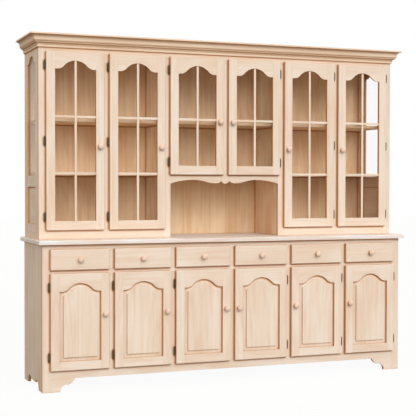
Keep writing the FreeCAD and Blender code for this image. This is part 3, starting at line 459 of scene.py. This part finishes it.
def pane_glass(look):
    """A clear pane that shows its surface at a shallow angle."""
    recipe = Recipe("pane_glass")
    ripple = recipe.noise(recipe.place(), scale=3.0, detail=1.0)
    grazing = recipe.add("ShaderNodeLayerWeight", None, {"Blend": 0.5}, output="Facing") ** 5.0
    shader = recipe.add("ShaderNodeBsdfPrincipled", None, {
        "Base Color": (*look.glass, 1.0), "Roughness": ripple * 0.03 + 0.2, "Specular IOR Level": 0.4,
        "Alpha": grazing * 0.8 + look.glass_alpha,
        "Normal": recipe.bump(ripple, strength=0.02, distance=MM)})
    return recipe.finish(shader)


WOODS_MADE = {}


def woods(kind):
    """The three woods of a kind, with the grain along X, Y and Z, made when first asked for."""
    if kind not in WOODS_MADE:
        WOODS_MADE[kind] = [wood(kind, axis) for axis in AXES]
    return WOODS_MADE[kind]


# ---------------------------------------------------------------- boards of the frame
def body_for(node):
    """The moving body that carries a node."""
    if node.startswith("drawer_") and node != "drawer_runners":
        return node
    if node.startswith(("base_door", "hutch_door")):
        return node.rsplit("_", 1)[0]
    return "cabinet"


def runs(mesh):
    """First and last face of each closed solid of a mesh, whose triangles come solid by solid."""
    places = [tuple(round(value, 6) for value in vertex.co) for vertex in mesh.vertices]
    waiting = {}
    start = 0
    found = []
    for face in mesh.polygons:
        ring = [places[index] for index in face.vertices]
        for edge in zip(ring, ring[1:] + ring[:1]):
            back = edge[::-1]
            if waiting.get(back):
                waiting[back] -= 1
                if not waiting[back]:
                    del waiting[back]
            else:
                waiting[edge] = waiting.get(edge, 0) + 1
        if not waiting:
            found.append((start, face.index))
            start = face.index + 1
    if waiting:
        raise RuntimeError("a solid of %s is open" % mesh.name)
    return found


def solids(node):
    """A merged bmesh for each solid of a node, with its level faces made whole."""
    mesh = NODES[node].data
    for first, last in runs(mesh):
        shape = bmesh.new()
        shape.from_mesh(mesh)
        others = [face for face in shape.faces if not first <= face.index <= last]
        bmesh.ops.delete(shape, geom=others, context="FACES")
        bmesh.ops.remove_doubles(shape, verts=shape.verts, dist=WELD)
        bmesh.ops.dissolve_degenerate(shape, edges=shape.edges, dist=WELD)
        bmesh.ops.dissolve_limit(shape, angle_limit=FLAT, verts=shape.verts, edges=shape.edges)
        yield shape


def box_of(shape):
    """Lowest and highest corner of a bmesh."""
    spots = [vertex.co for vertex in shape.verts]
    low = Vector([min(spot[axis] for spot in spots) for axis in range(3)])
    high = Vector([max(spot[axis] for spot in spots) for axis in range(3)])
    return low, high


def grain_of(low, high):
    """The axis along which a board is longest."""
    spans = list(high - low)
    return spans.index(max(spans))


def ease(shape, width):
    """Round every corner edge of a solid."""
    edges = [edge for edge in shape.edges
             if len(edge.link_faces) == 2 and edge.calc_face_angle(0.0) > CORNER]
    if edges and width > 0:
        bmesh.ops.bevel(shape, geom=edges, offset=width, offset_type="OFFSET", segments=2,
                        profile=0.5, affect="EDGES", clamp_overlap=True, material=-1)


# A face of the crown gets painted shade where it looks down by more than this, and how fast that grows.
CROWN_FROM = 0.35
CROWN_GAIN = 1.6
# A board's face is an edge where it faces the broad way by less than this.
EDGE_ON = 0.35
# An edge that looks up or right by more than this, towards the lamps, gets no painted shade.
LOOKS_UP = 0.5
LOOKS_RIGHT = 0.9


def crown_underside_shade(face):
    """How much painted shade a face of the crown gets: the more, the more it looks down."""
    return min(max((-face.normal.z - CROWN_FROM) * CROWN_GAIN, 0.0), 1.0)


def edge_shade_share(face, broad):
    """1, as painted shade, on the edges of a board whose broad faces lie across an axis, save those that look
    up or right towards the lamps.
    """
    is_edge = broad and abs(face.normal[AXES.index(broad)]) < EDGE_ON
    return 1.0 if is_edge and face.normal.z < LOOKS_UP and face.normal.x < LOOKS_RIGHT else 0.0


def paint_edge_shade(shape, broad, shade_share):
    """Mark, to a given share, the faces that get painted shade."""
    layer = shape.faces.layers.float.new("cut")
    for face in shape.faces:
        face[layer] = crown_underside_shade(face) if broad == "crown" else shade_share * edge_shade_share(face, broad)


# How fast the place of a board's middle turns its number over, per metre, and the highest number.
SCATTER = (12.99, 78.23, 37.72)
HIGHEST_NUMBER = 4.0


def number(shape, low, high):
    """Give a board's points its own number, which moves the pattern of its grain."""
    middle = (low + high) / 2
    layer = shape.verts.layers.float.new("board")
    value = abs(math.sin(sum(place * turns for place, turns in zip(middle, SCATTER)))) * HIGHEST_NUMBER
    for vertex in shape.verts:
        vertex[layer] = value


# How much a large face outweighs its small neighbours in the shading, from 1 to 100.
LARGE_FACES = 60


def made(name, shapes, materials, body, stands_for=()):
    """An object from several bmeshes, riding on a body, with faces shaded by their size."""
    whole = bmesh.new()
    for shape in shapes:
        part = bpy.data.meshes.new(name + "_part")
        shape.to_mesh(part)
        shape.free()
        whole.from_mesh(part)
        bpy.data.meshes.remove(part)
    mesh = bpy.data.meshes.new(name)
    for face in whole.faces:
        face.smooth = True
    whole.to_mesh(mesh)
    whole.free()
    for material in materials:
        mesh.materials.append(material)
    piece = bpy.data.objects.new(name, mesh)
    bpy.context.scene.collection.objects.link(piece)
    even = piece.modifiers.new("even_shading", "WEIGHTED_NORMAL")
    even.weight = LARGE_FACES
    even.keep_sharp = False
    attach(piece, body)
    if stands_for:
        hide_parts(*stands_for)


# A knob is less wide than this, and as wide as it is high to within the second.
KNOB_LIMIT = 45 * MM
KNOB_ROUND = 4 * MM


def is_knob(low, high):
    """Whether a solid's box is that of a knob."""
    wide, _, tall = high - low
    return wide < KNOB_LIMIT and abs(wide - tall) < KNOB_ROUND


def dress(node, kind, width, grain=None, broad=None, shade_share=1.0):
    """Replace a node of boards by rounded ones with grain and painted edge shade, and give back the boxes of
    its knobs.
    """
    shapes = []
    knobs = []
    for shape in solids(node):
        low, high = box_of(shape)
        if is_knob(low, high):
            knobs.append((low, high))
            shape.free()
            continue
        ease(shape, width)
        paint_edge_shade(shape, broad, shade_share)
        number(shape, low, high)
        axis = AXES.index(grain) if grain else grain_of(low, high)
        for face in shape.faces:
            face.material_index = axis
        shapes.append(shape)
    made("dressed_" + node, shapes, woods(kind), body_for(node), [node])
    return knobs


# ---------------------------------------------------------------- turned pieces
def turned(profile, axis, centre, sides):
    """A bmesh spun from a profile of (radius, height) pairs round an axis through a centre."""
    shape = bmesh.new()
    side = Vector((1, 0, 0))
    up = Vector((0, -1, 0)) if axis == "Y" else Vector((0, 0, 1))
    points = [shape.verts.new(centre + side * radius + up * height) for radius, height in profile]
    edges = [shape.edges.new(pair) for pair in zip(points, points[1:])]
    bmesh.ops.spin(shape, geom=points + edges, cent=centre, axis=up, angle=math.tau, steps=sides,
                   use_merge=True)
    bmesh.ops.remove_doubles(shape, verts=shape.verts, dist=WELD)
    bmesh.ops.recalc_face_normals(shape, faces=shape.faces)
    return shape


def smoothed(points, count=3):
    """Points of a curve that passes through the given ones, with so many steps from one to the next."""
    line = []
    for place, (start, end) in enumerate(zip(points, points[1:])):
        before = points[max(place - 1, 0)]
        after = points[min(place + 2, len(points) - 1)]
        for step in range(count):
            t = step / count
            line.append(tuple(0.5 * (2 * b + (c - a) * t + (2 * a - 5 * b + 4 * c - d) * t ** 2
                                     + (3 * b - a - 3 * c + d) * t ** 3)
                              for a, b, c, d in zip(before, start, end, after)))
    return line + [points[-1]]


# Radius and height of a knob from its foot to its face, in millimetres.
KNOB_PROFILE = ((0.0, -0.2), (10.0, -0.2), (10.2, 1.2), (8.6, 3.4), (7.4, 6.6), (8.6, 10.2), (13.0, 13.6),
                (17.0, 16.6), (18.0, 19.6), (17.0, 23.0), (13.6, 26.6), (8.4, 29.2), (3.4, 29.95), (0.0, 30.0))
KNOB_SIDES = 40
# Tip of a barrel from its end inwards: share of the barrel's radius, and millimetres from the end.
TIP_PROFILE = ((0.0, 0.0), (0.42, 0.4), (0.62, 1.6), (0.66, 2.8), (0.42, 4.2), (0.45, 5.2))
# Shoulder between tip and barrel: share of the radius, and millimetres before the barrel.
SHOULDER = (0.9, 0.8)
# Radius of the groove between two knuckles, as a share of the barrel's.
GROOVE = 0.86
BARREL_SIDES = 18
# A plain barrel of the frame has eight flats and two ends.
BARREL_FACES = 10


def knob(name, low, high, body):
    """A turned knob in the box of its plain solid, with the grain running into the front."""
    centre = Vector(((low.x + high.x) / 2, high.y, (low.z + high.z) / 2))
    reach = KNOB_PROFILE[-1][1]
    profile = [(max(radius, 0.0) * MM, min(height, reach) * MM) for radius, height in smoothed(KNOB_PROFILE)]
    shape = turned(profile, "Y", centre, KNOB_SIDES)
    number(shape, low, high)
    for face in shape.faces:
        face.material_index = AXES.index("Y")
    made(name, [shape], woods("knob_wood"), body)


def barrel(low, high, form):
    """A hinge barrel with its knuckles and turned tips."""
    radius = (high.x - low.x) / 2
    half = (high.z - low.z) / 2
    body_half = half - form.tip
    tip = [(radius * wide, inward * MM - half) for wide, inward in TIP_PROFILE]
    tip.append((radius * SHOULDER[0], -body_half - SHOULDER[1] * MM))
    profile = list(tip)
    for knuckle in range(form.knuckles):
        start, end = (-body_half + 2 * body_half * place / form.knuckles for place in (knuckle, knuckle + 1))
        profile += [(radius * GROOVE, start), (radius, start + form.knuckle_gap),
                    (radius, end - form.knuckle_gap)]
    profile.append((radius * GROOVE, body_half))
    profile += [(wide, -height) for wide, height in reversed(tip)]
    return turned(profile, "Z", (low + high) / 2, BARREL_SIDES)


# ---------------------------------------------------------------- operators
# The camera's sensor in millimetres, and how far it sees and how far the floor reaches in metres.
SENSOR_WIDE = 36.0
FAR = 100.0
FLOOR_HALF = 30.0
# The floor's grey as it lights the cupboard, and as its shadow is seen on it.
FLOOR_BOUNCE = (0.3, 0.3, 0.3)
FLOOR_SEEN = (0.92, 0.92, 0.92)


class CUPBOARD_OT_base_case(bpy.types.Operator):
    """Side panels and face frame of the base"""
    bl_idname = "cupboard.base_case"
    bl_label = "Base Case"
    bl_options = {"REGISTER", "UNDO"}

    def execute(self, context):
        form = context.scene.cupboard_form
        dress("base_side_panels", "wood", form.board_round, grain="Z", broad="X")
        dress("base_face_frame", "wood", form.frame_round, broad="Y")
        return {"FINISHED"}


class CUPBOARD_OT_inner_boards(bpy.types.Operator):
    """Decks, shelves, partitions and runners"""
    bl_idname = "cupboard.inner_boards"
    bl_label = "Inner Boards"
    bl_options = {"REGISTER", "UNDO"}

    def execute(self, context):
        form = context.scene.cupboard_form
        for node in ("base_deck_and_shelves", "drawer_runners", "hutch_shelves", "hutch_top"):
            dress(node, "inner_wood", form.board_round)
        for node in ("base_partitions", "hutch_partitions"):
            dress(node, "partition_wood", form.board_round, grain="Z")
        return {"FINISHED"}


class CUPBOARD_OT_backs(bpy.types.Operator):
    """Backs of the base and the hutch, made of upright boards"""
    bl_idname = "cupboard.backs"
    bl_label = "Backs"
    bl_options = {"REGISTER", "UNDO"}

    def execute(self, context):
        form = context.scene.cupboard_form
        for node in ("base_back", "hutch_back"):
            dress(node, "back_wood", form.board_round, grain="Z")
        return {"FINISHED"}


class CUPBOARD_OT_counter(bpy.types.Operator):
    """Counter top of the base"""
    bl_idname = "cupboard.counter"
    bl_label = "Counter"
    bl_options = {"REGISTER", "UNDO"}

    def execute(self, context):
        form = context.scene.cupboard_form
        dress("counter_top", "counter_wood", form.board_round)
        return {"FINISHED"}


class CUPBOARD_OT_hutch_case(bpy.types.Operator):
    """Side frames, face frame and scalloped valance of the hutch"""
    bl_idname = "cupboard.hutch_case"
    bl_label = "Hutch Case"
    bl_options = {"REGISTER", "UNDO"}

    def execute(self, context):
        form = context.scene.cupboard_form
        dress("hutch_side_frames", "wood", form.frame_round, broad="X", shade_share=form.side_opening_shade)
        for node in ("hutch_face_frame", "hutch_valance"):
            dress(node, "wood", form.frame_round, broad="Y")
        return {"FINISHED"}


class CUPBOARD_OT_crown(bpy.types.Operator):
    """Mitred crown moulding"""
    bl_idname = "cupboard.crown"
    bl_label = "Crown"
    bl_options = {"REGISTER", "UNDO"}

    def execute(self, context):
        form = context.scene.cupboard_form
        dress("crown_moulding", "crown_wood", form.moulding_round, broad="crown")
        return {"FINISHED"}


class CUPBOARD_OT_fronts(bpy.types.Operator):
    """Doors and drawers with their turned knobs"""
    bl_idname = "cupboard.fronts"
    bl_label = "Doors and Drawers"
    bl_options = {"REGISTER", "UNDO"}

    def execute(self, context):
        form = context.scene.cupboard_form
        for bay in BAYS:
            dress("base_door_%d_panel" % bay, "panel_wood", form.board_round, grain="Z", broad="Y")
            for node in ("base_door_%d_frame" % bay, "hutch_door_%d_frame" % bay, "drawer_%d" % bay):
                for low, high in dress(node, "wood", form.frame_round, broad="Y"):
                    knob(node.replace("_frame", "") + "_knob", low, high, body_for(node))
        return {"FINISHED"}


class CUPBOARD_OT_hinges(bpy.types.Operator):
    """Hinge barrels with their leaves"""
    bl_idname = "cupboard.hinges"
    bl_label = "Hinges"
    bl_options = {"REGISTER", "UNDO"}

    def execute(self, context):
        form = context.scene.cupboard_form
        metal = [bronze(context.scene.cupboard_metal)]
        leaves = []
        barrels = []
        for shape in solids("frame_hinges"):
            low, high = box_of(shape)
            if len(shape.faces) == BARREL_FACES:
                barrels.append(barrel(low, high, form))
                shape.free()
            else:
                ease(shape, form.plate_round)
                leaves.append(shape)
        made("hinge_leaves", leaves, metal, "cabinet", ["frame_hinges"])
        made("hinge_barrels", barrels, metal, "cabinet")
        for group in ("base_door", "hutch_door"):
            for bay in BAYS:
                node = "%s_%d_fittings" % (group, bay)
                shapes = list(solids(node))
                for shape in shapes:
                    ease(shape, form.plate_round)
                made("dressed_" + node, shapes, metal, body_for(node), [node])
        return {"FINISHED"}


class CUPBOARD_OT_catches(bpy.types.Operator):
    """Magnetic catches under the rails"""
    bl_idname = "cupboard.catches"
    bl_label = "Catches"
    bl_options = {"REGISTER", "UNDO"}

    def execute(self, context):
        form = context.scene.cupboard_form
        shapes = list(solids("door_catches"))
        for shape in shapes:
            ease(shape, form.catch_round)
        made("dressed_door_catches", shapes, [plastic(context.scene.cupboard_metal)], "cabinet",
             ["door_catches"])
        return {"FINISHED"}


class CUPBOARD_OT_glass(bpy.types.Operator):
    """Panes of the hutch's doors and sides"""
    bl_idname = "cupboard.glass"
    bl_label = "Glass"
    bl_options = {"REGISTER", "UNDO"}

    def execute(self, context):
        clear = pane_glass(context.scene.cupboard_metal)
        for node in ["hutch_side_glass"] + ["hutch_door_%d_glass" % bay for bay in BAYS]:
            for slot in NODES[node].material_slots:
                slot.material = clear
        return {"FINISHED"}


class CUPBOARD_OT_stage(bpy.types.Operator):
    """Camera, lamps, white surround and floor"""
    bl_idname = "cupboard.stage"
    bl_label = "Stage"
    bl_options = {"REGISTER", "UNDO"}

    def execute(self, context):
        scene = context.scene
        look = scene.cupboard_stage
        scene.view_settings.view_transform = "Standard"
        self.camera(look, scene)
        for lamp in ("key", "top", "fill", "side"):
            self.lamp(lamp, getattr(look, lamp), getattr(look, lamp + "_soft"), getattr(look, lamp + "_from"),
                      look.tint if lamp == "side" else WHITE, scene)
        self.surround(look, scene)
        self.floor(look, scene)
        return {"FINISHED"}

    def camera(self, look, scene):
        """The camera in front and to the left."""
        lens = bpy.data.cameras.new("camera")
        lens.lens = look.lens
        lens.sensor_width = SENSOR_WIDE
        lens.clip_end = FAR
        camera = bpy.data.objects.new("camera", lens)
        turn = (Matrix.Rotation(-look.yaw, 4, "Z") @ Matrix.Rotation(math.pi / 2 + look.pitch, 4, "X")
                @ Matrix.Rotation(look.roll, 4, "Z"))
        camera.matrix_world = Matrix.Translation(look.spot) @ turn
        scene.collection.objects.link(camera)
        scene.camera = camera

    def lamp(self, name, strength, breadth, place, tint, scene):
        """A far lamp that shines from a place towards the origin."""
        light = bpy.data.lights.new(name, "SUN")
        light.energy = strength
        light.angle = breadth
        light.color = tint
        lamp = bpy.data.objects.new(name, light)
        lamp.rotation_euler = Vector(place).to_track_quat("Z", "Y").to_euler()
        scene.collection.objects.link(lamp)

    def surround(self, look, scene):
        """Light from all round, which the camera and the glass see as plain white."""
        recipe = Recipe("surround", "worlds")
        seen = 0.0
        for ray in ("Is Camera Ray", "Is Transmission Ray", "Is Glossy Ray"):
            seen = recipe.add("ShaderNodeLightPath", output=ray).maths("MAXIMUM", seen)
        tone = recipe.blend(seen, [value * look.surround for value in look.tint], WHITE)
        light = recipe.add("ShaderNodeBackground", None, {"Color": tone})
        scene.world = recipe.finish(light, "ShaderNodeOutputWorld")

    def floor(self, look, scene):
        """A white floor on which little of the shadow shows."""
        recipe = Recipe("floor_white")
        path = recipe.add("ShaderNodeLightPath", output="Is Camera Ray")
        seen = recipe.blend(path, FLOOR_BOUNCE, FLOOR_SEEN)
        matt = recipe.add("ShaderNodeBsdfDiffuse", None, {"Color": seen})
        glow = recipe.add("ShaderNodeEmission", None, {"Color": (*WHITE, 1.0), "Strength": 1.0})
        mixed = recipe.add("ShaderNodeMixShader", None, {0: path * (1.0 - look.floor_shadow), 1: matt, 2: glow})
        shape = bmesh.new()
        bmesh.ops.create_grid(shape, x_segments=1, y_segments=1, size=FLOOR_HALF)
        mesh = bpy.data.meshes.new("floor")
        shape.to_mesh(mesh)
        shape.free()
        mesh.materials.append(recipe.finish(mixed))
        floor = bpy.data.objects.new("floor", mesh)
        scene.collection.objects.link(floor)


MAKERS = (CUPBOARD_OT_base_case, CUPBOARD_OT_inner_boards, CUPBOARD_OT_backs, CUPBOARD_OT_counter,
          CUPBOARD_OT_hutch_case, CUPBOARD_OT_crown, CUPBOARD_OT_fronts, CUPBOARD_OT_hinges,
          CUPBOARD_OT_catches, CUPBOARD_OT_glass, CUPBOARD_OT_stage)
GROUPS = {"cupboard_wood": CupboardWood, "cupboard_form": CupboardForm, "cupboard_metal": CupboardMetal,
          "cupboard_stage": CupboardStage}


class CUPBOARD_PT_sidebar(bpy.types.Panel):
    """Sizes, colours and steps of the cupboard"""
    bl_idname = "CUPBOARD_PT_sidebar"
    bl_label = "Step Back Cupboard"
    bl_space_type = "VIEW_3D"
    bl_region_type = "UI"
    bl_category = "Cupboard"

    def draw(self, context):
        for name, group in GROUPS.items():
            box = self.layout.box()
            box.label(text=group.__doc__)
            for setting in group.__annotations__:
                box.prop(getattr(context.scene, name), setting)
        for maker in MAKERS:
            self.layout.operator(maker.bl_idname)


def register():
    for group in GROUPS.values():
        bpy.utils.register_class(group)
    for name, group in GROUPS.items():
        setattr(bpy.types.Scene, name, bpy.props.PointerProperty(type=group))
    for maker in MAKERS:
        bpy.utils.register_class(maker)
    bpy.utils.register_class(CUPBOARD_PT_sidebar)


def unregister():
    bpy.utils.unregister_class(CUPBOARD_PT_sidebar)
    for maker in reversed(MAKERS):
        bpy.utils.unregister_class(maker)
    for name, group in GROUPS.items():
        delattr(bpy.types.Scene, name)
        bpy.utils.unregister_class(group)


def main():
    register()
    for maker in MAKERS:
        group, name = maker.bl_idname.split(".")
        getattr(getattr(bpy.ops, group), name)()


if __name__ == "__main__":
    main()
